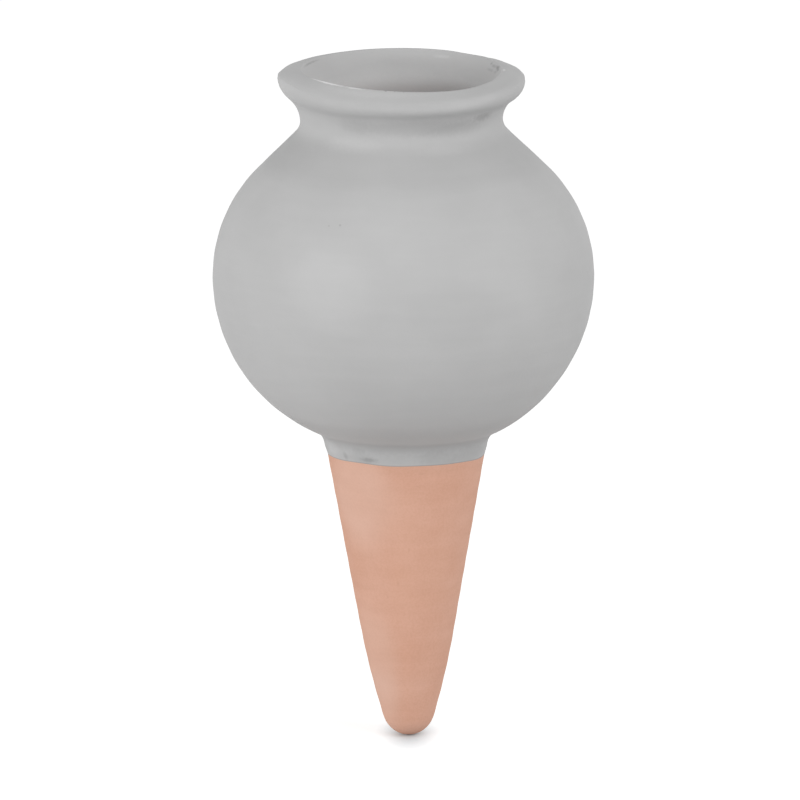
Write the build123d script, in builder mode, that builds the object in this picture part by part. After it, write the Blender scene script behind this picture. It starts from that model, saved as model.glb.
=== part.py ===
"""Self-watering spike: a clay water globe luted onto a porous clay spike and painted above the soil.

Millimetres, +Z up. The origin is on the axis at the soil line, where the paint ends and the bare clay
begins. Every piece is turned about Z from an outline of lines and arcs that run smoothly into each other.
"""
import math
import os

from build123d import *

# Spike, bare clay below the soil line
SOIL_RADIUS = 13.25  # outside of the clay at the soil line
SPIKE_LENGTH = 48.7  # soil line to the end of the tip
SPIKE_WALL = 3.0
TIP_RADIUS = 4.4
NOSE_ARC = 134.0  # radius of the side where it bends in towards the tip
NOSE_DROP = 0.9  # how far that bend brings the tip's rounding inside the straight side

# Joint of spike and globe
COLLAR_HEIGHT = 3.7  # soil line to the shoulder that carries the globe
SPIGOT_HEIGHT = 3.0  # shoulder to the top of the spigot
SPIGOT_WALL = 1.4  # at the top of the spigot
SLIP_THICKNESS = 0.3  # luting slip on the shoulder and round the spigot
BEAD_ARC = 3.4  # hollow of the wiped bead in the crease

# Globe
GLOBE_RADIUS = 31.95
GLOBE_WALL = 3.2
LOWER_CENTRE = 3.45  # distance from the axis to the centre of the lower side arc
UPPER_CENTRE = 6.5  # the same for the upper side arc
SHOULDER_ANGLE = 45.5  # how far the straight shoulder leans in from upright, degrees

# Neck, lip and mouth
NECK_RADIUS = 16.8  # narrowest outside
NECK_LOWER_ARC = 3.2
NECK_UPPER_ARC = 4.8
LIP_FLARE = 3.8  # overhang of the lip beyond the neck
LIP_LOWER_ARC = 3.5
LIP_OUTER_EDGE = 0.8
LIP_INNER_EDGE = 0.5
LIP_WIDTH = 3.4  # outside of the lip to the centre of its inner edge's rounding
LIP_TOP_SLOPE = 16.0  # rise of the lip's top towards the mouth, degrees
FUNNEL_ANGLE = 38.0  # slope of the mouth's funnel from upright, degrees
FUNNEL_ARC = 3.0  # bend from the funnel into the straight throat

# Paint film
COAT_THICKNESS = 0.2


def at(centre, radius, angle):
    """Point at an angle, in degrees from +X, on a circle in the outline's plane."""
    turn = math.radians(angle)
    return (centre[0] + radius * math.cos(turn), centre[1] + radius * math.sin(turn))


def arc(centre, radius, start, end):
    """Arc of the outline between two angles, in degrees."""
    ThreePointArc(
        at(centre, radius, start),
        at(centre, radius, (start + end) / 2),
        at(centre, radius, end),
    )


# Spike: the straight side leans so that NOSE_DROP is left between it and the tip's rounding
tip_centre = (0, TIP_RADIUS - SPIKE_LENGTH)
tip_reach = math.hypot(SOIL_RADIUS, tip_centre[1])
tip_bearing = math.degrees(math.atan2(-tip_centre[1], SOIL_RADIUS))
side_lean = math.degrees(math.acos((TIP_RADIUS + NOSE_DROP) / tip_reach)) - tip_bearing
side_slope = math.tan(math.radians(side_lean))
side_cosine = math.cos(math.radians(side_lean))
side_sine = math.sin(math.radians(side_lean))


def side_radius(height, depth=0.0):
    """Radius at a height on the spike's straight side, or at a depth under that side."""
    return SOIL_RADIUS + height * side_slope - depth / side_cosine


# The nose arc touches the straight side and the tip's rounding
nose_gap = NOSE_ARC - TIP_RADIUS
nose_turn = math.degrees(math.acos((nose_gap - NOSE_DROP) / nose_gap))
nose_end = -side_lean - nose_turn
nose_centre = at(tip_centre, nose_gap, nose_end + 180)

# Joint: the spigot stands inside the shoulder, and the globe's hole clears it by the slip
foot_height = COLLAR_HEIGHT + SLIP_THICKNESS
spigot_top = COLLAR_HEIGHT + SPIGOT_HEIGHT
spigot_radius = side_radius(spigot_top, SPIKE_WALL) + SPIGOT_WALL
hole_radius = spigot_radius + SLIP_THICKNESS
collar_radius = side_radius(COLLAR_HEIGHT)

# Globe: its lower arc comes down to the shoulder's outer edge, which sets its height
lower_arc = GLOBE_RADIUS - LOWER_CENTRE
upper_arc = GLOBE_RADIUS - UPPER_CENTRE
foot_angle = -math.degrees(math.acos((collar_radius - LOWER_CENTRE) / lower_arc))
equator = foot_height - lower_arc * math.sin(math.radians(foot_angle))
lower_centre = (LOWER_CENTRE, equator)
upper_centre = (UPPER_CENTRE, equator)

# Bead: a hollow arc that touches the spike's straight side and the globe's lower arc
bead_reach = lower_arc + BEAD_ARC
bead_offset = (SOIL_RADIUS - LOWER_CENTRE) * side_cosine + equator * side_sine + BEAD_ARC
bead_angle = -side_lean - math.degrees(math.acos(bead_offset / bead_reach))
bead_centre = at(lower_centre, bead_reach, bead_angle)

# Neck: the straight shoulder runs from the globe's upper arc to the neck's lower arc
shoulder_turn = math.radians(SHOULDER_ANGLE)
shoulder_start = at(upper_centre, upper_arc, SHOULDER_ANGLE)
neck_inset = NECK_LOWER_ARC * (1 - math.cos(shoulder_turn))
shoulder_length = (shoulder_start[0] - neck_inset - NECK_RADIUS) / math.sin(shoulder_turn)
shoulder_end = at(shoulder_start, shoulder_length, SHOULDER_ANGLE + 90)
neck_lower_centre = at(shoulder_end, NECK_LOWER_ARC, SHOULDER_ANGLE)
neck_height = neck_lower_centre[1]
neck_upper_centre = (NECK_RADIUS + NECK_UPPER_ARC, neck_height)

# Lip: its lower arc meets the neck's upper arc, and its two edges carry the sloping top
lip_radius = NECK_RADIUS + LIP_FLARE
flare_arcs = NECK_UPPER_ARC + LIP_LOWER_ARC
flare_angle = math.degrees(math.acos((flare_arcs - LIP_FLARE) / flare_arcs))
lip_lower_centre = at(neck_upper_centre, flare_arcs, 180 - flare_angle)
lip_height = lip_lower_centre[1]
outer_edge_centre = (lip_radius - LIP_OUTER_EDGE, lip_height)
top_turn = math.radians(LIP_TOP_SLOPE)
top_angle = 90 - LIP_TOP_SLOPE
top_run = LIP_WIDTH - LIP_OUTER_EDGE
top_rise = (LIP_OUTER_EDGE - LIP_INNER_EDGE) / math.cos(top_turn) + top_run * math.tan(top_turn)
inner_edge_centre = (lip_radius - LIP_WIDTH, lip_height + top_rise)

# Mouth: the funnel drops from the lip's inner edge and bends into the straight throat
throat_radius = NECK_RADIUS - GLOBE_WALL
funnel_turn = math.radians(FUNNEL_ANGLE)
funnel_angle = 180 - FUNNEL_ANGLE
funnel_run = (inner_edge_centre[0] - throat_radius - FUNNEL_ARC) * math.cos(funnel_turn)
throat_top = inner_edge_centre[1] - (funnel_run + FUNNEL_ARC - LIP_INNER_EDGE) / math.sin(funnel_turn)
funnel_centre = (throat_radius + FUNNEL_ARC, throat_top)


def globe_outline(film):
    """Outline from the globe's widest circle over the lip to the bottom of the throat, under a film."""
    arc(upper_centre, upper_arc + film, 0, SHOULDER_ANGLE)
    Line(
        at(upper_centre, upper_arc + film, SHOULDER_ANGLE),
        at(neck_lower_centre, NECK_LOWER_ARC - film, SHOULDER_ANGLE + 180),
    )
    arc(neck_lower_centre, NECK_LOWER_ARC - film, SHOULDER_ANGLE + 180, 180)
    arc(neck_upper_centre, NECK_UPPER_ARC - film, 180, 180 - flare_angle)
    arc(lip_lower_centre, LIP_LOWER_ARC + film, -flare_angle, 0)
    arc(outer_edge_centre, LIP_OUTER_EDGE + film, 0, top_angle)
    Line(
        at(outer_edge_centre, LIP_OUTER_EDGE + film, top_angle),
        at(inner_edge_centre, LIP_INNER_EDGE + film, top_angle),
    )
    arc(inner_edge_centre, LIP_INNER_EDGE + film, top_angle, funnel_angle)
    Line(
        at(inner_edge_centre, LIP_INNER_EDGE + film, funnel_angle),
        at(funnel_centre, FUNNEL_ARC + film, funnel_angle),
    )
    arc(funnel_centre, FUNNEL_ARC + film, funnel_angle, 180)
    Line((throat_radius - film, throat_top), (throat_radius - film, neck_height))


def collar_outline(film):
    """Outline from the soil line over the bead to the globe's widest circle, under a film."""
    Line((side_radius(0, -film), 0), at(bead_centre, BEAD_ARC - film, 180 - side_lean))
    arc(bead_centre, BEAD_ARC - film, 180 - side_lean, 180 + bead_angle)
    arc(lower_centre, lower_arc + film, bead_angle, 0)


def cone_outline(depth, top):
    """Outline of the spike at a depth under its outside, from the axis up its side to a height."""
    arc(tip_centre, TIP_RADIUS - depth, -90, nose_end)
    arc(nose_centre, NOSE_ARC - depth, nose_end, -side_lean)
    Line(at(nose_centre, NOSE_ARC - depth, -side_lean), (side_radius(top, depth), top))


# Globe: reservoir, neck and rolled lip in one wall, open at the mouth and at the hole for the spigot
with BuildPart() as globe:
    with BuildSketch(Plane.XZ):
        with BuildLine():
            Line((hole_radius, foot_height), (collar_radius, foot_height))
            arc(lower_centre, lower_arc, foot_angle, 0)
            globe_outline(0)
            arc(neck_lower_centre, NECK_LOWER_ARC + GLOBE_WALL, 180, 180 + SHOULDER_ANGLE)
            Line(
                at(neck_lower_centre, NECK_LOWER_ARC + GLOBE_WALL, 180 + SHOULDER_ANGLE),
                at(upper_centre, upper_arc - GLOBE_WALL, SHOULDER_ANGLE),
            )
            arc(upper_centre, upper_arc - GLOBE_WALL, SHOULDER_ANGLE, 0)
            floor_angle = -math.degrees(math.acos((hole_radius - LOWER_CENTRE) / (lower_arc - GLOBE_WALL)))
            arc(lower_centre, lower_arc - GLOBE_WALL, 0, floor_angle)
            Line(at(lower_centre, lower_arc - GLOBE_WALL, floor_angle), (hole_radius, foot_height))
        make_face()
    revolve(axis=Axis.Z)
globe.part.label = "globe"

# Spike: closed hollow cone with a shoulder for the globe and a spigot inside it
with BuildPart() as spike:
    with BuildSketch(Plane.XZ):
        with BuildLine():
            cone_outline(0, COLLAR_HEIGHT)
            Line((collar_radius, COLLAR_HEIGHT), (spigot_radius, COLLAR_HEIGHT))
            Line((spigot_radius, COLLAR_HEIGHT), (spigot_radius, spigot_top))
            Line((spigot_radius, spigot_top), (side_radius(spigot_top, SPIKE_WALL), spigot_top))
            cone_outline(SPIKE_WALL, spigot_top)
            Line((0, SPIKE_WALL - SPIKE_LENGTH), (0, -SPIKE_LENGTH))
        make_face()
    revolve(axis=Axis.Z)
spike.part.label = "spike"

# Slip seam: fills the joint on the shoulder and round the spigot, and the wiped bead outside it
with BuildPart() as slip_seam:
    with BuildSketch(Plane.XZ):
        with BuildLine():
            Line((spigot_radius, spigot_top), (spigot_radius, COLLAR_HEIGHT))
            Line((spigot_radius, COLLAR_HEIGHT), (collar_radius, COLLAR_HEIGHT))
            Line((collar_radius, COLLAR_HEIGHT), at(bead_centre, BEAD_ARC, 180 - side_lean))
            arc(bead_centre, BEAD_ARC, 180 - side_lean, 180 + bead_angle)
            arc(lower_centre, lower_arc, bead_angle, foot_angle)
            Line((collar_radius, foot_height), (hole_radius, foot_height))
            Line((hole_radius, foot_height), (hole_radius, spigot_top))
            Line((hole_radius, spigot_top), (spigot_radius, spigot_top))
        make_face()
    revolve(axis=Axis.Z)
slip_seam.part.label = "slip_seam"

# Grey coat: paint film from the soil line over bead, globe and lip to the bottom of the throat
with BuildPart() as grey_coat:
    with BuildSketch(Plane.XZ):
        with BuildLine():
            collar_outline(COAT_THICKNESS)
            globe_outline(COAT_THICKNESS)
            Line((throat_radius - COAT_THICKNESS, neck_height), (throat_radius, neck_height))
            globe_outline(0)
            collar_outline(0)
            Line((SOIL_RADIUS, 0), (side_radius(0, -COAT_THICKNESS), 0))
        make_face()
    revolve(axis=Axis.Z)
grey_coat.part.label = "grey_coat"

os.makedirs("parts", exist_ok=True)
export_step(globe.part, "parts/globe.step")
export_step(spike.part, "parts/spike.step")
export_step(slip_seam.part, "parts/slip_seam.step")
export_step(grey_coat.part, "parts/grey_coat.step")
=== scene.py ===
import math

import bmesh
import bpy
import numpy as np
from mathutils import Matrix, Vector, noise


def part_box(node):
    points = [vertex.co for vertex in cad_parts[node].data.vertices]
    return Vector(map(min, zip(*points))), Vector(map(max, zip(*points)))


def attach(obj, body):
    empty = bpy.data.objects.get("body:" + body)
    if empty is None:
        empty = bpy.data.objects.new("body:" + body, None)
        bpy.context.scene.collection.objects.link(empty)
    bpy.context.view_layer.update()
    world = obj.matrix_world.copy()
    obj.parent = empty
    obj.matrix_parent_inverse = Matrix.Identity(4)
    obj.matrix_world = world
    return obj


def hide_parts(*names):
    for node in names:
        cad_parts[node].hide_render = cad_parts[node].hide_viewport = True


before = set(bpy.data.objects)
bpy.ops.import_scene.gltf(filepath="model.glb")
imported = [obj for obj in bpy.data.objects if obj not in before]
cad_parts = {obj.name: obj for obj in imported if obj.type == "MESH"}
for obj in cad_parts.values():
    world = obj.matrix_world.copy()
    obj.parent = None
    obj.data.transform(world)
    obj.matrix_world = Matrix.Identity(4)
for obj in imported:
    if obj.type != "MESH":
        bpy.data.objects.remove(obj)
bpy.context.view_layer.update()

# Meshes, in metres and degrees
MM = 0.001
MERGE = 1e-6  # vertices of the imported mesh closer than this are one
CORNER = 25.0  # a turn of the outline sharper than this stays a corner
LEAST_STEPS = 2  # along a stretch of the outline between two corners
SHARP_EDGE = 35.0  # an edge of the mesh sharper than this is shaded as one
FINE_STEP = 0.7 * MM  # spacing of outline points on surfaces that show
COARSE_STEP = 1.4 * MM  # the same on surfaces that are covered
FINE_TURN = 224  # points around a piece that shows
COARSE_TURN = 128  # the same around a piece that is covered

# The lip was bent a little out of level by hand, from its underside up to its crest
BEND_START = 60.0 * MM
BEND_END = 65.2 * MM
LIP_SINK = 0.05 * MM
LIP_FALL_RIGHT = 0.012  # drop per length towards +X
LIP_FALL_FRONT = 0.031  # drop per length towards -Y
LIP_DIP_FRONT = 0.25 * MM  # further drop of the crest at the front
LIP_ROLL_FRONT = 0.18  # drop per length outwards where the lip's front rolls down
LIP_ROLL_BACK = 0.08  # the same behind
LIP_ROLL_RADIUS = 17.0 * MM  # further out than this the lip rolls down
LIP_ROLL_SPREAD = 0.5  # cosine of the bearing where the front roll ends

# The lip's left side curls up, more and more from the neck to its outer edge
CURL_RISE = 0.80 * MM
CURL_BOTTOM = 56.0 * MM
CURL_TOP = 60.5 * MM
CURL_INNER = 16.2 * MM
CURL_OUTER = 21.6 * MM
CURL_SPREAD = 0.5  # cosine of the angle from the left where the curl ends

# The front of the lip's inner edge is higher on the left and lower on the right
LIP_TWIST = 0.040  # rise per length towards -X
TWIST_INNER = 17.5 * MM
TWIST_OUTER = 20.5 * MM

# Dents in the lip's outer edge: angle from +X towards +Y and half width in degrees, then the depth and
# the radius where the dent starts, in millimetres; a depth below 0 is a bump
LIP_DENTS = [
    (167, 15, 0.60, 18.0),
    (147, 10, 0.30, 18.0),
    (50, 9, 0.32, 16.5),
    (40, 8, -0.22, 18.0),
]
DENT_REACH = 2.5 * MM  # further out than the start by this, a dent has its full depth

# The joint of globe and spike sits a little low, most of all on the right
JOINT_HEIGHT = 4.0 * MM
JOINT_REACH = 7.0 * MM
JOINT_DROP = 0.12 * MM
JOINT_FALL_RIGHT = 0.012  # further drop per length towards +X

# The globe is a little fuller on the left
FULL_LEFT = 0.25 * MM
FULL_HEIGHT = 45.0 * MM
FULL_REACH = 18.0 * MM
FULL_SPREAD = 22.5 * MM  # distance to the left where it is fullest

# The paint was brushed on by hand, so its lower edge wanders about the soil line and thins out
EDGE_MEAN = 0.26 * MM
EDGE_LEFT = 0.10 * MM  # rise towards -X
EDGE_FRONT = 0.34 * MM  # rise towards -Y
EDGE_WOBBLE = 0.06 * MM
EDGE_WAVES = [(5, 1.0, 0.6), (9, 0.6, 2.0)]  # waves in a turn, share of the wobble, phase in radians
EDGE_REACH = 2.6 * MM  # height over which the wandering dies out
FEATHER = 1.6 * MM  # height over which the film comes to its full thickness
FEATHER_LEAST = 0.12  # share of the full thickness at the edge

# Lumps of slip under the paint beside the joint: bearing from the front towards +X in degrees,
# height, half width and rise, in millimetres
LUMPS = [
    (-62, 2.4, 1.7, 0.22),
    (-44, 2.2, 1.1, 0.26),
    (-27, 2.4, 1.4, 0.24),
    (8, 1.9, 2.0, 0.12),
    (33, 2.2, 1.8, 0.15),
    (140, 2.2, 1.4, 0.22),
    (205, 1.8, 1.6, 0.22),
]
LUMP_STEEPNESS = 1.5
LUMP_SKIN = 0.5  # share of the film's thickness beyond which a point is on the outside and gets lumps

# Unevenness left by the throwing
OUT_OF_ROUND = 0.10 * MM
OUT_OF_ROUND_SIZE = 24 * MM
TURNING_RINGS = 0.02 * MM
TURNING_RING_HEIGHT = 4.2 * MM
RING_DRIFT = 3.0  # radians by which the rings wander
AXIS_REACH = 2.0 * MM  # closer to the axis than this, a piece stays round
LEAST_RADIUS = 1.0 * MM  # keeps a division off the axis


def smooth(value):
    """Smooth step from 0 to 1."""
    value = np.clip(value, 0.0, 1.0)
    return value * value * (3 - 2 * value)


def half_turn(angle):
    """Angle in degrees brought to -180 to 180."""
    return (angle + 180) % 360 - 180


def meridian(node):
    """Outline (radius, height) of a turned CAD node, read off its mesh in the half-plane of +X."""
    mesh = bmesh.new()
    mesh.from_mesh(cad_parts[node].data)
    bmesh.ops.remove_doubles(mesh, verts=mesh.verts, dist=MERGE)
    seam = [v for v in mesh.verts if abs(v.co.y) < MERGE and v.co.x > -MERGE]
    on_seam = set(seam)
    links = {v: [e.other_vert(v) for e in v.link_edges if e.other_vert(v) in on_seam] for v in seam}
    ends = [v for v in seam if len(links[v]) == 1]
    current = min(ends or seam, key=lambda v: (v.co.z, v.co.x))
    path = [current]
    seen = {current}
    while True:
        ahead = [v for v in links[current] if v not in seen]
        if not ahead:
            break
        current = ahead[0]
        path.append(current)
        seen.add(current)
    outline = np.array([(max(v.co.x, 0.0), v.co.z) for v in path])
    mesh.free()
    return outline, not ends


def stretches(outline, closed):
    """The outline cut at its corners into smooth stretches."""
    points = np.vstack([outline, outline[:1]]) if closed else outline
    runs = np.diff(points, axis=0)
    headings = np.degrees(np.arctan2(runs[:, 1], runs[:, 0]))
    turns = np.abs(half_turn(np.diff(headings)))
    cuts = [0] + [i + 1 for i, turn in enumerate(turns) if turn > CORNER] + [len(points) - 1]
    return [points[a:b + 1] for a, b in zip(cuts, cuts[1:])]


def smooth_curve(points, step):
    """Points at an even step on a smooth curve through the given ones, without the last one."""
    lengths = np.linalg.norm(np.diff(points, axis=0), axis=1)
    slopes = np.diff(points, axis=0) / lengths[:, None]
    tangents = np.vstack([slopes[:1], slopes])
    before = lengths[:-1, None]
    after = lengths[1:, None]
    tangents[1:-1] = (before * slopes[1:] + after * slopes[:-1]) / (before + after)
    place = np.concatenate([[0.0], np.cumsum(lengths)])
    count = max(LEAST_STEPS, int(round(place[-1] / step)))
    wanted = np.linspace(0, place[-1], count + 1)[:-1]
    span = np.clip(np.searchsorted(place, wanted, side="right") - 1, 0, len(lengths) - 1)
    size = lengths[span][:, None]
    t = (wanted - place[span])[:, None] / size
    start = (2 * t**3 - 3 * t**2 + 1) * points[span] + (t**3 - 2 * t**2 + t) * size * tangents[span]
    end = (3 * t**2 - 2 * t**3) * points[span + 1] + (t**3 - t**2) * size * tangents[span + 1]
    return start + end


def fine_outline(node, step):
    """Evenly spaced outline of a CAD node, with its corners kept."""
    outline, closed = meridian(node)
    pieces = [smooth_curve(stretch, step) for stretch in stretches(outline, closed)]
    if not closed:
        pieces.append(outline[-1:])
    return np.vstack(pieces), closed


# The spike's straight side, between its widest point and a point of its outside about this high
SIDE_LOW_HEIGHT = -20.0 * MM
spike_line, _ = meridian("spike")
SIDE_LOW = spike_line[np.argmin(np.abs(spike_line[:, 1] - SIDE_LOW_HEIGHT) - spike_line[:, 0])]
SIDE_HIGH = spike_line[np.argmax(spike_line[:, 0])]
SIDE_SLOPE = (SIDE_HIGH[0] - SIDE_LOW[0]) / (SIDE_HIGH[1] - SIDE_LOW[1])


def side_radius(height):
    """Outside radius of the spike's straight side at a height."""
    return SIDE_HIGH[0] + (height - SIDE_HIGH[1]) * SIDE_SLOPE


def painted_edge(radius, angle, height):
    """Moves the paint film's lower end along the spike to its wandering edge, thins it and adds lumps."""
    share = FEATHER_LEAST + (1 - FEATHER_LEAST) * smooth(height / FEATHER)
    low = height < EDGE_REACH
    film = radius - side_radius(height)
    radius = np.where(low, radius - film * (1 - share), radius)
    wander = EDGE_MEAN - EDGE_LEFT * np.cos(angle) - EDGE_FRONT * np.sin(angle)
    for waves, part, phase in EDGE_WAVES:
        wander += EDGE_WOBBLE * part * np.sin(waves * angle + phase)
    rise = wander * (1 - smooth(height / EDGE_REACH))
    outside = film > LUMP_SKIN * np.max(np.where(low, film, 0.0))
    for bearing, middle, width, lump in LUMPS:
        turn = np.radians(half_turn(np.degrees(angle) - (bearing - 90)))
        away = np.hypot(turn * radius, height - middle * MM) / (width * MM)
        radius = radius + outside * lump * MM * np.exp(-(away**2) * LUMP_STEEPNESS)
    return radius + rise * SIDE_SLOPE, height + rise


def lip_rise(x, y, z, radius):
    """Rise of the hand-bent lip, negative where it falls."""
    around = np.maximum(radius, LEAST_RADIUS)
    at_front = smooth(-y / LIP_ROLL_RADIUS)
    at_back = smooth(y / LIP_ROLL_RADIUS)
    ahead = smooth((-y / around - LIP_ROLL_SPREAD) / (1 - LIP_ROLL_SPREAD))
    roll = LIP_ROLL_FRONT * ahead + LIP_ROLL_BACK * at_back
    inner = 1 - smooth((radius - TWIST_INNER) / (TWIST_OUTER - TWIST_INNER))
    rise = LIP_FALL_FRONT * y - LIP_FALL_RIGHT * x - LIP_SINK
    rise -= LIP_DIP_FRONT * at_front
    rise -= roll * np.maximum(radius - LIP_ROLL_RADIUS, 0.0)
    rise -= LIP_TWIST * x * inner * at_front
    for angle, width, depth, start in LIP_DENTS:
        turn = half_turn(np.degrees(np.arctan2(y, x)) - angle)
        edge = smooth((radius - start * MM) / DENT_REACH)
        rise -= depth * MM * edge * np.exp(-((turn / width) ** 2))
    bend = smooth((z - BEND_START) / (BEND_END - BEND_START))
    curl = smooth((radius - CURL_INNER) / (CURL_OUTER - CURL_INNER))
    curl *= smooth((z - CURL_BOTTOM) / (CURL_TOP - CURL_BOTTOM))
    curl *= smooth((-x / around - CURL_SPREAD) / (1 - CURL_SPREAD))
    return bend * rise + CURL_RISE * curl


def hand_made(points):
    """The unevenness that all pieces share, so that they still fit each other."""
    x, y, z = points.T
    radius = np.hypot(x, y)
    rise = lip_rise(x, y, z, radius)
    rise -= np.exp(-((z - JOINT_HEIGHT) / JOINT_REACH) ** 2) * (JOINT_DROP + JOINT_FALL_RIGHT * x)
    wander = np.array([noise.noise(Vector(p) / OUT_OF_ROUND_SIZE) for p in points])
    rings = np.sin(2 * math.pi * z / TURNING_RING_HEIGHT + RING_DRIFT * wander)
    out = OUT_OF_ROUND * wander + TURNING_RINGS * rings
    out += FULL_LEFT * smooth(-x / FULL_SPREAD) * np.exp(-((z - FULL_HEIGHT) / FULL_REACH) ** 2)
    scale = 1 + np.where(radius > AXIS_REACH, out / np.maximum(radius, AXIS_REACH), 0.0)
    return np.column_stack([x * scale, y * scale, z + rise])


def turned_points(outline, around, shape):
    """Rows of points around Z, one row for each point of an outline."""
    angles = np.arange(around) * 2 * math.pi / around
    rows = len(outline)
    radius = np.repeat(outline[:, :1], around, axis=1)
    height = np.repeat(outline[:, 1:], around, axis=1)
    angle = np.repeat(angles[None, :], rows, axis=0)
    if shape:
        radius, height = shape(radius, angle, height)
    grid = np.stack([radius * np.cos(angle), radius * np.sin(angle), height], axis=-1)
    return hand_made(grid.reshape(-1, 3)).reshape(rows, around, 3)


def turned(name, node, step, around, shape=None):
    """A closed mesh turned about Z from a CAD node's outline, which it replaces."""
    outline, closed = fine_outline(node, step)
    points = turned_points(outline, around, shape)
    rows = len(outline)
    run = np.concatenate([[0.0], np.cumsum(np.linalg.norm(np.diff(outline, axis=0), axis=1))])
    length = run[-1] + (np.linalg.norm(outline[0] - outline[-1]) if closed else 0.0)

    mesh = bmesh.new()
    uv = mesh.loops.layers.uv.new("turned")
    on_axis = outline[:, 0] < MERGE
    rings = []
    for row in range(rows):
        if on_axis[row]:
            rings.append([mesh.verts.new(points[row, 0])] * around)
        else:
            rings.append([mesh.verts.new(p) for p in points[row]])
    for row in range(rows if closed else rows - 1):
        following = (row + 1) % rows
        low = run[row] / length
        high = run[following] / length if following else 1.0
        for i in range(around):
            j = (i + 1) % around
            corners = [
                (rings[row][i], i, low),
                (rings[row][j], i + 1, low),
                (rings[following][j], i + 1, high),
                (rings[following][i], i, high),
            ]
            corners = [c for k, c in enumerate(corners) if c[0] is not corners[k - 1][0]]
            face = mesh.faces.new([c[0] for c in corners])
            face.smooth = True
            for loop, corner in zip(face.loops, corners):
                loop[uv].uv = (corner[1] / around, corner[2])
    bmesh.ops.recalc_face_normals(mesh, faces=mesh.faces)
    for edge in mesh.edges:
        edge.smooth = edge.calc_face_angle(0.0) < math.radians(SHARP_EDGE)
    data = bpy.data.meshes.new(name)
    mesh.to_mesh(data)
    mesh.free()
    piece = bpy.data.objects.new(name, data)
    bpy.context.scene.collection.objects.link(piece)
    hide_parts(node)
    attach(piece, "root")
    return piece


def new_material(name):
    """A node material with its shader and the object's own coordinates."""
    material = bpy.data.materials.new(name)
    material.use_nodes = True
    tree = material.node_tree
    place = tree.nodes.new("ShaderNodeTexCoord").outputs["Object"]
    return material, tree, tree.nodes["Principled BSDF"], place


def feed(tree, socket, value):
    """Links an output to a socket, or sets the socket to a plain value."""
    if isinstance(value, bpy.types.NodeSocket):
        tree.links.new(value, socket)
    else:
        socket.default_value = value


def calculate(tree, operation, *values):
    """Output of a math node fed with outputs or numbers."""
    node = tree.nodes.new("ShaderNodeMath")
    node.operation = operation
    for socket, value in zip(node.inputs, values):
        feed(tree, socket, value)
    return node.outputs[0]


def vector_length(tree, vector):
    """Length of a vector output."""
    node = tree.nodes.new("ShaderNodeVectorMath")
    node.operation = "LENGTH"
    tree.links.new(vector, node.inputs[0])
    return node.outputs["Value"]


def parts(tree, vector):
    """X, Y and Z outputs of a vector output."""
    node = tree.nodes.new("ShaderNodeSeparateXYZ")
    tree.links.new(vector, node.inputs[0])
    return node.outputs


def scaled(tree, vector, scale, shift=(0, 0, 0)):
    """A vector output times a scale along each axis, then shifted."""
    node = tree.nodes.new("ShaderNodeMapping")
    node.inputs["Scale"].default_value = scale
    node.inputs["Location"].default_value = shift
    tree.links.new(vector, node.inputs["Vector"])
    return node.outputs["Vector"]


def noise_at(tree, place, size, detail, stretch=(1, 1, 1)):
    """Noise with features of a size in metres, stretched along the axes."""
    texture = tree.nodes.new("ShaderNodeTexNoise")
    texture.inputs["Scale"].default_value = 1.0
    texture.inputs["Detail"].default_value = detail
    spread = scaled(tree, place, [1 / (size * s) for s in stretch])
    tree.links.new(spread, texture.inputs["Vector"])
    return texture.outputs["Fac"]


# Span of a noise's values over which its colour changes
NOISE_LOW = 0.3
NOISE_HIGH = 0.7


def ramp(tree, value, first, second, low=NOISE_LOW, high=NOISE_HIGH):
    """Colour that runs from a first to a second one while a value goes from low to high."""
    node = tree.nodes.new("ShaderNodeValToRGB")
    for element, position, colour in zip(node.color_ramp.elements, (low, high), (first, second)):
        element.position = position
        element.color = (*colour, 1)
    tree.links.new(value, node.inputs["Fac"])
    return node.outputs["Color"]


def mix(tree, blend, amount, first, second):
    """Mix of two colours by an amount, each of them an output or a plain value."""
    node = tree.nodes.new("ShaderNodeMix")
    node.data_type = "RGBA"
    node.blend_type = blend
    # Inputs 0, 6 and 7 and output 2 are the node's sockets for colours
    for i, value in ((0, amount), (6, first), (7, second)):
        feed(tree, node.inputs[i], value)
    return node.outputs[2]


def turned_place(tree, place):
    """Place on a turned surface: bearing from the front towards +X in radians, radius and height."""
    flat = scaled(tree, place, (1, -1, 0))
    right, ahead, _ = parts(tree, flat)
    bearing = calculate(tree, "ARCTAN2", right, ahead)
    height = parts(tree, place)["Z"]
    joined = tree.nodes.new("ShaderNodeCombineXYZ")
    for socket, value in zip(joined.inputs, (bearing, vector_length(tree, flat), height)):
        tree.links.new(value, socket)
    return joined.outputs[0]


def fade(tree, value, start, end, strength):
    """Falls smoothly from a strength to 0 between two values."""
    node = tree.nodes.new("ShaderNodeMapRange")
    node.interpolation_type = "SMOOTHSTEP"
    for name, number in (("From Min", start), ("From Max", end), ("To Min", strength), ("To Max", 0.0)):
        node.inputs[name].default_value = number
    tree.links.new(value, node.inputs["Value"])
    return node.outputs["Result"]


def bump(tree, shader, height, distance):
    """Surface relief of a depth in metres."""
    node = tree.nodes.new("ShaderNodeBump")
    node.inputs["Strength"].default_value = 1.0
    node.inputs["Distance"].default_value = distance
    tree.links.new(height, node.inputs["Height"])
    tree.links.new(node.outputs["Normal"], shader.inputs["Normal"])


SCREEN_GAMMA = 2.2


def screen_colour(red, green, blue):
    """Linear colour of screen levels from 0 to 255."""
    return [(level / 255) ** SCREEN_GAMMA for level in (red, green, blue)]


def grey(level):
    """Linear grey of a screen level from 0 to 255."""
    return screen_colour(level, level, level)


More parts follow.
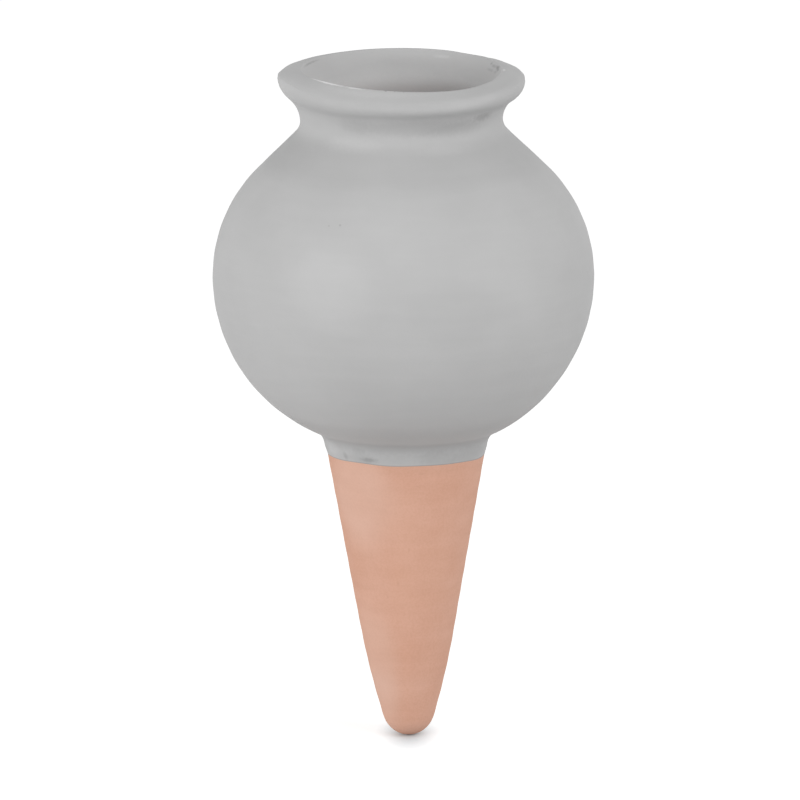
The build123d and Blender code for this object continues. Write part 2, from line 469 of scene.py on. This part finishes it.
# Marks on the surfaces: bearing from the front towards +X in degrees, radius and height, then the half
# lengths around, across and up, all in millimetres, then how strongly the mark shows and its colour
ALL_ROUND = 1000.0  # length around that makes a mark a ring
# Several of the paint's marks are painted light and shade, as the comment beside each says
PAINT_MARKS_AND_PAINTED_LIGHT = [
    (0, 13.4, 59.0, (ALL_ROUND, 2.4, 4.0), 0.34, grey(240)),  # painted light: the paint in the throat made paler against the shade of its depth
    (0, 14.3, 4.4, (ALL_ROUND, 2.4, 2.4), 0.16, grey(110)),  # painted shade in the corner above the joint and under the globe; darker patches on the band below
    (0, 18.6, 8.2, (ALL_ROUND, 4.0, 3.2), 0.10, grey(110)),
    (5, 13.5, 2.0, (9.0, 1.5, 1.4), 0.10, grey(110)),
    (26, 13.5, 1.8, (5.0, 1.5, 2.2), 0.11, grey(110)),
    (-33, 13.5, 1.6, (3.4, 1.5, 1.8), 0.13, grey(110)),
    (0, 21.5, 53.4, (ALL_ROUND, 5.8, 5.0), 0.11, grey(130)),  # painted shade on the shoulder below the neck, where the lip shades it
    (-78, 21.5, 53.2, (13.0, 5.4, 4.8), 0.08, grey(130)),
    (52, 13.3, 1.6, (6.0, 1.5, 2.0), 0.14, grey(110)),  # painted shade at the soil line on the right, where the band turns from the light
    (12, 17.5, 59.0, (17.0, 9.0, 1.9), 0.22, grey(140)),  # painted shade in the hollow of the neck, under the lip
    (32, 17.4, 58.2, (8.0, 6.0, 1.8), 0.14, grey(130)),
    (-27, 17.4, 59.2, (4.0, 6.0, 1.8), 0.10, grey(130)),
    (-28, 18.5, 56.2, (8.0, 3.0, 1.7), 0.15, grey(245)),  # painted highlight at the foot of the neck
    (22, 18.5, 55.2, (7.0, 3.0, 1.3), 0.08, grey(245)),
    (-8, 18.2, 65.3, (15.0, 2.2, 1.3), 0.13, grey(240)),  # painted highlight on the front of the lip, and painted shade below it
    (-4, 20.8, 63.0, (17.0, 2.2, 1.3), 0.08, grey(120)),
    (180, 16.0, 64.2, (14.0, 2.4, 1.6), 0.07, grey(120)),  # darker band on the mouth's far side, in two halves
    (-180, 16.0, 64.2, (14.0, 2.4, 1.6), 0.07, grey(120)),
    (15, 31.8, 29.5, (9.0, 6.0, 6.0), 0.05, grey(110)),  # painted shade and a painted highlight on the globe's front
    (-22, 31.8, 34.5, (8.0, 6.0, 8.0), 0.10, grey(240)),
    (-72, 19.4, 64.2, (7.0, 2.6, 2.4), 0.13, grey(240)),  # painted highlight on the crest of the lip's left
    (-46, 17.3, 66.1, (5.8, 0.60, 1.2), 1.0, grey(250)),  # worn inner edge of the lip, with a painted highlight along it
    (-27, 17.3, 65.7, (2.6, 0.50, 1.2), 0.6, grey(245)),
    (-110, 16.6, 66.2, (5.8, 0.30, 0.4), 0.45, grey(135)),  # painted shade in the crease behind the left of the mouth
    (113, 16.5, 65.7, (0.6, 0.5, 0.4), 0.35, grey(120)),  # scuffs inside the right of the mouth
    (108, 16.4, 65.5, (1.4, 0.6, 0.4), 0.32, grey(118)),
    (101, 16.5, 65.6, (1.8, 0.6, 0.6), 0.50, grey(108)),
    (97, 16.4, 65.4, (1.2, 0.5, 0.5), 0.40, grey(112)),
    (92, 16.5, 65.6, (0.7, 0.5, 0.3), 0.25, grey(118)),
    (109, 15.9, 64.8, (2.4, 0.6, 0.4), 0.20, grey(122)),
    (99, 16.0, 64.9, (1.1, 0.6, 0.5), 0.22, grey(120)),
    (88, 17.3, 65.9, (1.5, 0.4, 0.8), 0.50, grey(245)),  # painted highlight on the inner edge on the right
    (155, 16.2, 65.5, (2.6, 0.80, 0.5), 0.30, grey(225)),  # pale rub on the mouth's far side
    (50, 17.4, 59.9, (3.2, 2.0, 1.2), 0.28, grey(110)),  # painted shade under the lip on the right
    (-9, 17.0, 65.4, (0.35, 0.5, 0.4), 0.50, grey(120)),  # nicks in the lip's front inner edge
    (-4, 17.0, 65.4, (0.25, 0.5, 0.4), 0.45, grey(120)),
    (1, 17.0, 65.4, (0.40, 0.5, 0.4), 0.50, grey(120)),
    (-22, 28.5, 44.4, (0.30, 1.5, 0.26), 0.40, grey(140)),  # specks on the globe
    (-26, 28.5, 44.2, (0.24, 1.5, 0.22), 0.35, grey(145)),
    (-63, 13.7, 2.5, (2.6, 1.5, 2.2), 0.30, grey(222)),  # pale and dark patches beside the joint
    (-48, 13.5, 1.5, (0.9, 1.5, 1.2), 0.32, grey(130)),
    (-27, 13.5, 1.4, (2.6, 1.5, 0.8), 0.34, grey(125)),
    (-34, 13.9, 3.0, (2.4, 1.5, 0.8), 0.12, grey(130)),
]
SCRATCH_COLOUR = screen_colour(196, 144, 120)
CLAY_MARKS = [
    (-45, 12.2, -5.0, (8.0, 5.0, 11.0), 0.30, screen_colour(242, 206, 189)),  # pale bloom on the left
    (-50, 7.5, -36.0, (5.0, 4.5, 11.0), 0.28, screen_colour(240, 203, 185)),
    (-62, 5.0, -42.0, (4.4, 3.4, 8.0), 0.24, screen_colour(245, 212, 196)),
    (12, 10.5, -18.0, (8.0, 4.0, 11.0), 0.15, screen_colour(224, 168, 139)),  # redder front
    (-9, 10.0, -20.5, (0.45, 3.0, 1.0), 0.14, SCRATCH_COLOUR),  # fine scratches
    (2, 10.6, -14.4, (0.35, 3.0, 0.7), 0.12, SCRATCH_COLOUR),
    (-21, 9.6, -23.0, (0.35, 3.0, 0.5), 0.14, SCRATCH_COLOUR),
    (12, 13.1, -0.9, (0.9, 3.0, 0.3), 0.16, SCRATCH_COLOUR),
    (8, 12.7, -3.1, (0.6, 3.0, 0.25), 0.16, SCRATCH_COLOUR),
]

# A mark's ragged edge; the core and the end are distances from its centre, in half lengths
MARK_CORE = 0.5
MARK_END = 1.3
MARK_RAGGED = 0.8
MARK_NOISE = (0.6 * MM, 2)  # size and detail


def marked(tree, colour, place, marks):
    """Lays ragged marks over a colour."""
    where = turned_place(tree, place)
    rough = noise_at(tree, place, *MARK_NOISE)
    for bearing, radius, height, sizes, strength, mark_colour in marks:
        around, across, up = sizes
        scale = (radius / around, 1 / (across * MM), 1 / (up * MM))
        centre = (math.radians(bearing), radius * MM, height * MM)
        shift = [-c * s for c, s in zip(centre, scale)]
        away = vector_length(tree, scaled(tree, where, scale, shift))
        ragged = calculate(tree, "MULTIPLY_ADD", rough, MARK_RAGGED / max(1.0, up), away)
        amount = fade(tree, ragged, MARK_CORE, MARK_END, strength)
        colour = mix(tree, "MIX", amount, colour, [*mark_colour, 1])
    return colour


# Paint; its noises are given by size, detail and stretch along the axes
WHITE = grey(255)
PAINT_DULL = grey(195)
PAINT_PALE = grey(200)
PAINT_STREAK = grey(253)
PAINT_CLOUD = (14 * MM, 4)
PAINT_BRUSHING = (1.2 * MM, 3, (9, 9, 1))
PAINT_GRAIN = (0.5 * MM, 2)
PAINT_BRUSHED_RELIEF = 0.5  # share of the brushing in the relief, where the grain has the rest
PAINT_RELIEF = 0.03 * MM
PAINT_ROUGHNESS = 0.65
PAINT_GLOSS = 0.2

# The thin dark line where the film ends, painted shade of the film's step; lengths are shares of the
# outline's length
FILM_EDGE_SHADE_COLOUR = grey(120)
FILM_EDGE_STRENGTH = 0.5
FILM_EDGE_START = 0.0012  # up to here it shows fully
FILM_EDGE_END = 0.0024
FILM_MIDDLE = 0.5


def film_edge_shade(tree, colour):
    """Painted shade as a dark line along the paint film's lower edge, which both ends of the outline's
    length reach.
    """
    along = tree.nodes.new("ShaderNodeUVMap")
    along.uv_map = "turned"
    inward = calculate(tree, "PINGPONG", parts(tree, along.outputs["UV"])["Y"], FILM_MIDDLE)
    amount = fade(tree, inward, FILM_EDGE_START, FILM_EDGE_END, FILM_EDGE_STRENGTH)
    return mix(tree, "MIX", amount, colour, [*FILM_EDGE_SHADE_COLOUR, 1])


def finish_surface(tree, shader, colour, roughness, gloss):
    """Gives a shader its colour, roughness and gloss."""
    tree.links.new(colour, shader.inputs["Base Color"])
    shader.inputs["Roughness"].default_value = roughness
    shader.inputs["Specular IOR Level"].default_value = gloss


def grey_paint():
    """Matt grey paint, brushed on by hand over turned clay."""
    material, tree, shader, place = new_material("grey_paint")
    cloud = noise_at(tree, place, *PAINT_CLOUD)
    brushed = noise_at(tree, place, *PAINT_BRUSHING)
    grain = noise_at(tree, place, *PAINT_GRAIN)
    colour = ramp(tree, cloud, PAINT_DULL, PAINT_PALE)
    colour = mix(tree, "MULTIPLY", 1.0, colour, ramp(tree, brushed, PAINT_STREAK, WHITE))
    colour = film_edge_shade(tree, marked(tree, colour, place, PAINT_MARKS_AND_PAINTED_LIGHT))
    finish_surface(tree, shader, colour, PAINT_ROUGHNESS, PAINT_GLOSS)
    bump(tree, shader, mix(tree, "MIX", PAINT_BRUSHED_RELIEF, grain, brushed), PAINT_RELIEF)
    return material


# Bare clay, with its noises given like the paint's, and the tint of each piece
CLAY_DULL = screen_colour(229, 177, 153)
CLAY_PALE = screen_colour(237, 188, 166)
CLAY_STREAK = screen_colour(251, 249, 247)
CLAY_CLOUD = (9 * MM, 5)
CLAY_DRAG = (1.6 * MM, 3, (6, 6, 1))
CLAY_GRAIN = (0.35 * MM, 3)
CLAY_SPECK_LOW = 0.35
CLAY_SPECK_HIGH = 0.6
CLAY_RELIEF = 0.012 * MM
CLAY_ROUGHNESS = 0.85
CLAY_GLOSS = 0.25
SPIKE_TINT = (1.0, 1.0, 1.0)
GLOBE_TINT = (0.94, 0.90, 0.88)
SLIP_TINT = (0.90, 0.86, 0.84)


def bare_clay(name, tint, marks=()):
    """Bare fired clay, grainy and blotched, tinted for its place."""
    material, tree, shader, place = new_material(name)
    cloud = noise_at(tree, place, *CLAY_CLOUD)
    drag = noise_at(tree, place, *CLAY_DRAG)
    grain = noise_at(tree, place, *CLAY_GRAIN)
    colour = ramp(tree, cloud, np.multiply(tint, CLAY_DULL), np.multiply(tint, CLAY_PALE))
    colour = mix(tree, "MULTIPLY", 1.0, colour, ramp(tree, drag, CLAY_STREAK, WHITE))
    specks = ramp(tree, grain, CLAY_STREAK, WHITE, CLAY_SPECK_LOW, CLAY_SPECK_HIGH)
    colour = mix(tree, "MULTIPLY", 1.0, colour, specks)
    finish_surface(tree, shader, marked(tree, colour, place, marks), CLAY_ROUGHNESS, CLAY_GLOSS)
    bump(tree, shader, grain, CLAY_RELIEF)
    return material


globe = turned("clay_globe", "globe", COARSE_STEP, COARSE_TURN)
spike = turned("clay_spike", "spike", FINE_STEP, FINE_TURN)
seam = turned("luting_slip", "slip_seam", FINE_STEP, COARSE_TURN)
coat = turned("paint_film", "grey_coat", FINE_STEP, FINE_TURN, painted_edge)

globe.data.materials.append(bare_clay("globe_clay", GLOBE_TINT))
spike.data.materials.append(bare_clay("spike_clay", SPIKE_TINT, CLAY_MARKS))
seam.data.materials.append(bare_clay("slip_clay", SLIP_TINT))
coat.data.materials.append(grey_paint())

# Stage: a pale floor under the spike's tip, and an evenly bright room that is white to the camera
FLOOR_SIZE = 3.0
FLOOR_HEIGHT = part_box("spike")[0].z
FLOOR_COLOUR = (0.73, 0.73, 0.73)
FLOOR_ROUGHNESS = 1.0
FLOOR_GLOSS = 0.0
FLOOR_GLOW = 0.62
ROOM_LIGHT = (0.51, 0.51, 0.51, 1)
BACKDROP = (1, 1, 1, 1)

# The tip's shadow; distances from the tip count in these half lengths
SHADOW_WIDTH = 6.5 * MM
SHADOW_LENGTH = 17.6 * MM
SHADOW_COLOUR = (0.68, 0.75, 0.79)  # cooler, against the warm light that the clay throws there
SHADOW_CORE = 0.3  # up to here the floor has the shadow's colour
SHADOW_END = 1.2  # from here on it has its own
GLOW_FULL = 1.0  # from here on the floor glows fully
GLOW_NONE = -0.2  # below 0, so that a little glow is left under the tip


def camera_or_glass(tree):
    """1 for rays from the camera, straight or by gloss or glass, and 0 for light on the object."""
    rays = tree.nodes.new("ShaderNodeLightPath").outputs
    seen = calculate(tree, "MAXIMUM", rays["Is Camera Ray"], rays["Is Glossy Ray"])
    return calculate(tree, "MAXIMUM", seen, rays["Is Transmission Ray"])


def pale_floor():
    """Floor that is white to the camera, less so round the tip, where its shadow shows."""
    material, tree, shader, place = new_material("pale_floor")
    away = vector_length(tree, scaled(tree, place, (1 / SHADOW_WIDTH, 1 / SHADOW_LENGTH, 1)))
    near_tip = fade(tree, away, SHADOW_CORE, SHADOW_END, 1.0)
    colour = mix(tree, "MIX", near_tip, [*FLOOR_COLOUR, 1], [*SHADOW_COLOUR, 1])
    finish_surface(tree, shader, colour, FLOOR_ROUGHNESS, FLOOR_GLOSS)
    lift = fade(tree, away, GLOW_FULL, GLOW_NONE, FLOOR_GLOW)
    glow = tree.nodes.new("ShaderNodeEmission")
    feed(tree, glow.inputs["Strength"], calculate(tree, "MULTIPLY", camera_or_glass(tree), lift))
    total = tree.nodes.new("ShaderNodeAddShader")
    tree.links.new(shader.outputs[0], total.inputs[0])
    tree.links.new(glow.outputs[0], total.inputs[1])
    tree.links.new(total.outputs[0], tree.nodes["Material Output"].inputs["Surface"])
    return material


floor_mesh = bpy.data.meshes.new("floor")
half = FLOOR_SIZE / 2
floor_mesh.from_pydata(
    [(x, y, 0.0) for x, y in ((-half, -half), (half, -half), (half, half), (-half, half))],
    [],
    [(0, 1, 2, 3)],
)
floor = bpy.data.objects.new("floor", floor_mesh)
floor.location.z = FLOOR_HEIGHT
bpy.context.scene.collection.objects.link(floor)
floor.data.materials.append(pale_floor())


def white_room():
    """Even light from all round, and plain white to the camera."""
    world = bpy.data.worlds.new("white_room")
    world.use_nodes = True
    tree = world.node_tree
    room = tree.nodes["Background"]
    room.inputs["Color"].default_value = ROOM_LIGHT
    backdrop = tree.nodes.new("ShaderNodeBackground")
    backdrop.inputs["Color"].default_value = BACKDROP
    choose = tree.nodes.new("ShaderNodeMixShader")
    tree.links.new(camera_or_glass(tree), choose.inputs["Fac"])
    tree.links.new(room.outputs[0], choose.inputs[1])
    tree.links.new(backdrop.outputs[0], choose.inputs[2])
    tree.links.new(choose.outputs[0], tree.nodes["World Output"].inputs["Surface"])
    return world


bpy.context.scene.world = white_room()


def aim(thing, target):
    """Turns a lamp or camera to look at a point."""
    thing.rotation_euler = (Vector(target) - thing.location).to_track_quat("-Z", "Y").to_euler()


# Soft lamps: name, place, width, height and power, in metres and watts
LAMPS = [
    ("left", (-0.95, -0.31, 0.12), 0.5, 0.24, 1.8),
    ("front_left", (-0.58, -0.79, 0.20), 0.3, 0.3, 1.65),
    ("front_right", (0.70, -0.55, 0.50), 0.7, 0.7, 3.35),
]
LAMP_TARGET = (0, 0, 0.03)  # about the middle of the globe

for name, place, width, height, power in LAMPS:
    light = bpy.data.lights.new(name, "AREA")
    light.shape = "RECTANGLE"
    light.size = width
    light.size_y = height
    light.energy = power
    lamp = bpy.data.objects.new(name, light)
    lamp.location = place
    aim(lamp, LAMP_TARGET)
    bpy.context.scene.collection.objects.link(lamp)

# Camera, from the photograph
PHOTO_SIZE = 800  # pixels
PIXELS_PER_METRE = 5912.0
SENSOR_WIDTH = 36.0  # millimetres
VIEW_DISTANCE = 2.5
VIEW_END = 20.0  # nothing further off than this is drawn
VIEW_RISE = math.radians(11.5)
VIEW_ROLL = math.radians(-0.65)
VIEW_CENTRE = Vector((-0.88 * MM, 0, 9.2 * MM))

camera_data = bpy.data.cameras.new("camera")
camera_data.sensor_width = SENSOR_WIDTH
camera_data.lens = SENSOR_WIDTH * VIEW_DISTANCE * PIXELS_PER_METRE / PHOTO_SIZE
camera_data.clip_end = VIEW_END
camera = bpy.data.objects.new("camera", camera_data)
camera.location = VIEW_CENTRE + VIEW_DISTANCE * Vector((0, -math.cos(VIEW_RISE), math.sin(VIEW_RISE)))
aim(camera, VIEW_CENTRE)
camera.rotation_euler = (camera.rotation_euler.to_matrix() @ Matrix.Rotation(VIEW_ROLL, 3, "Z")).to_euler()
bpy.context.scene.collection.objects.link(camera)
bpy.context.scene.camera = camera
bpy.context.scene.view_settings.view_transform = "Standard"
